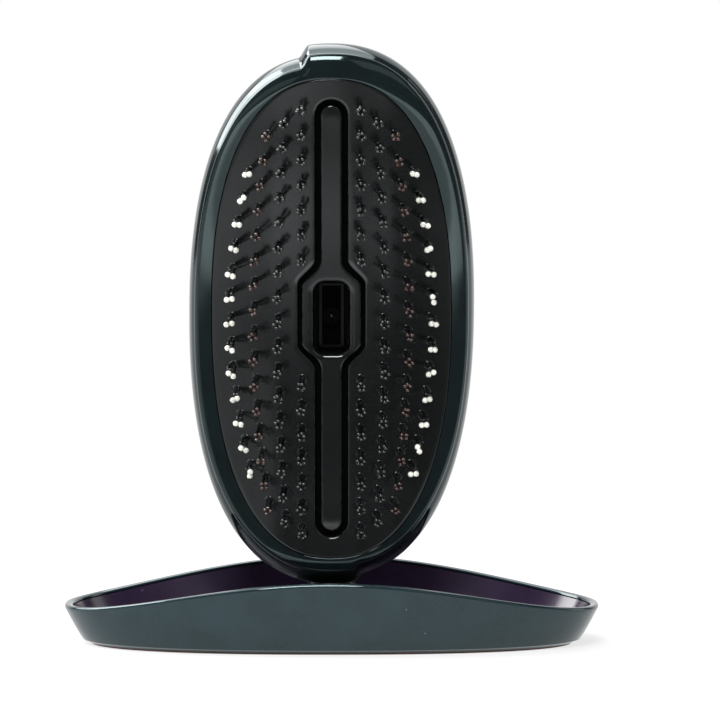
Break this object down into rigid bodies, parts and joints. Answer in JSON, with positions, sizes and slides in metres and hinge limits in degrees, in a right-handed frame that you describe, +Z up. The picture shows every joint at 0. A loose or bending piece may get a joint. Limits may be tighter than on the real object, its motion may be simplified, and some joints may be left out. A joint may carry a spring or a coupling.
{
  "type": "scalp brush",
  "caption": "Powered oval scalp brush with ball-tipped bristles and an ion port, standing upright in its boat-shaped cover.",
  "frame": {"origin": "middle of the underside of the cover, on the surface that it stands on", "axes": "+Z up along the standing brush, +X along the cover's length, -Y towards the bristle side"},
  "size_m": [0.1402, 0.0714, 0.1561],
  "materials": {
    "shell": "gloss, dark grey-green",
    "liner": "gloss, dark purple",
    "pad": "satin gloss, near black",
    "amber": "gloss, translucent amber brown",
    "soft": "matt",
    "foot": "matt, reddish brown",
    "inner": "matt",
    "steel": "satin",
    "brass": "satin",
    "button": "matt",
    "lens": "gloss, clear",
    "board": "satin, green",
    "cell": "gloss, printed wrap left plain"
  },
  "bodies": {
    "cover": {"cover_shell": "shell", "cover_liner": "liner", "foot_pad": "foot", "stand_cradle": "soft"},
    "brush": {"front_frame": "shell", "bristle_pad_center": "pad", "bristle_strip_left": "amber", "bristle_strip_right": "amber", "center_spine": "pad", "bristle_bed": "inner", "seal_ring": "soft", "port_liner": "pad", "emitter_holder": "inner", "emitter_needle": "steel", "ground_ring": "steel", "back_shell": "shell", "status_lens": "lens", "chassis": "inner", "chassis_screw_1": "steel", "chassis_screw_2": "steel", "chassis_screw_3": "steel", "chassis_screw_4": "steel", "circuit_board": "board", "tact_switch": "inner", "status_led": "lens", "ion_module": "inner", "battery_left": "cell", "battery_right": "cell", "bridge_contact": "brass", "terminal_left": "brass", "terminal_right": "brass", "motor_can": "steel", "motor_clamp": "steel"},
    "button": {"power_button": "button"},
    "door": {"battery_door": "shell"},
    "rotor": {"motor_shaft": "steel", "eccentric_weight": "brass"}
  },
  "joints": [
    {"name": "brush_lift", "type": "slide", "parent": "cover", "child": "brush", "axis": [0, 0, 1], "range_m": [0, 0.08]},
    {"name": "power_button_press", "type": "slide", "parent": "brush", "child": "button", "axis": [0, -0.9976, -0.0698], "range_m": [0, 0.0008], "stiffness_N_per_m": 900},
    {"name": "battery_door_off", "type": "slide", "parent": "brush", "child": "door", "axis": [0, 0.9976, 0.0698], "range_m": [0, 0.03]},
    {"name": "motor_spin", "type": "hinge", "parent": "brush", "child": "rotor", "pos_m": [0.0208, 0.00782, 0.07134], "axis": [0, -0.0698, 0.9976], "continuous": true}
  ]
}
